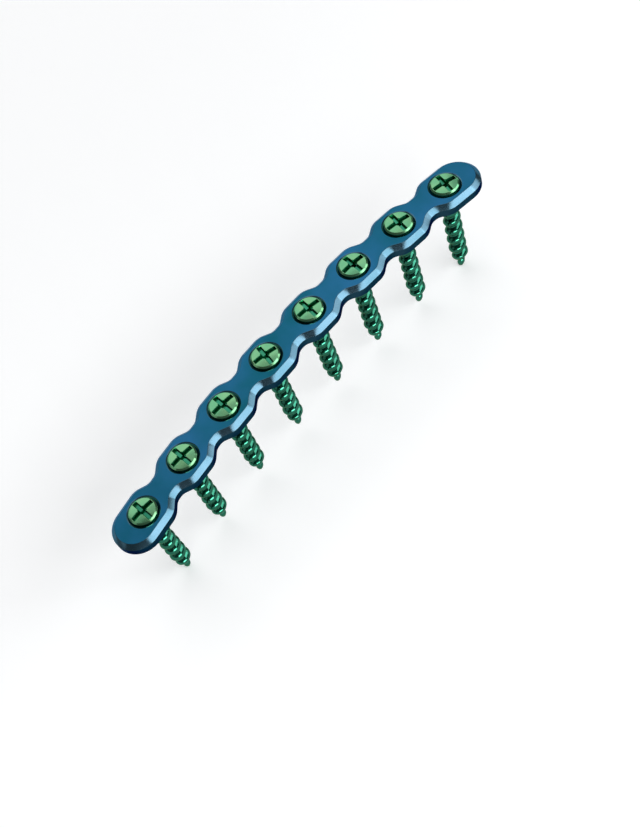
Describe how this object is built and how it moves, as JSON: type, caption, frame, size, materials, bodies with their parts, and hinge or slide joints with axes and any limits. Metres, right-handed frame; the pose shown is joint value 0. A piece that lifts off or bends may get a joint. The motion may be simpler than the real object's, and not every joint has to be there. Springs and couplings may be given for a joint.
{
  "type": "orthopedic bone plate",
  "caption": "Contoured scalloped bone plate with a countersunk cross-drive self-drilling bone screw seated in every hole.",
  "frame": {"origin": "mid-length of the plate, on the face that lies on the bone", "axes": "+X along the plate, +Y across it, +Z away from the bone; the screws point to -Z"},
  "size_m": [0.0656, 0.0079, 0.0165],
  "materials": {
    "blue_anodised_titanium": "satin anodised",
    "green_anodised_titanium": "glossy anodised"
  },
  "bodies": {
    "root": {"bone_plate": "blue_anodised_titanium", "bone_screw_1": "green_anodised_titanium", "bone_screw_2": "green_anodised_titanium", "bone_screw_3": "green_anodised_titanium", "bone_screw_4": "green_anodised_titanium", "bone_screw_5": "green_anodised_titanium", "bone_screw_6": "green_anodised_titanium", "bone_screw_7": "green_anodised_titanium", "bone_screw_8": "green_anodised_titanium"}
  },
  "joints": []
}
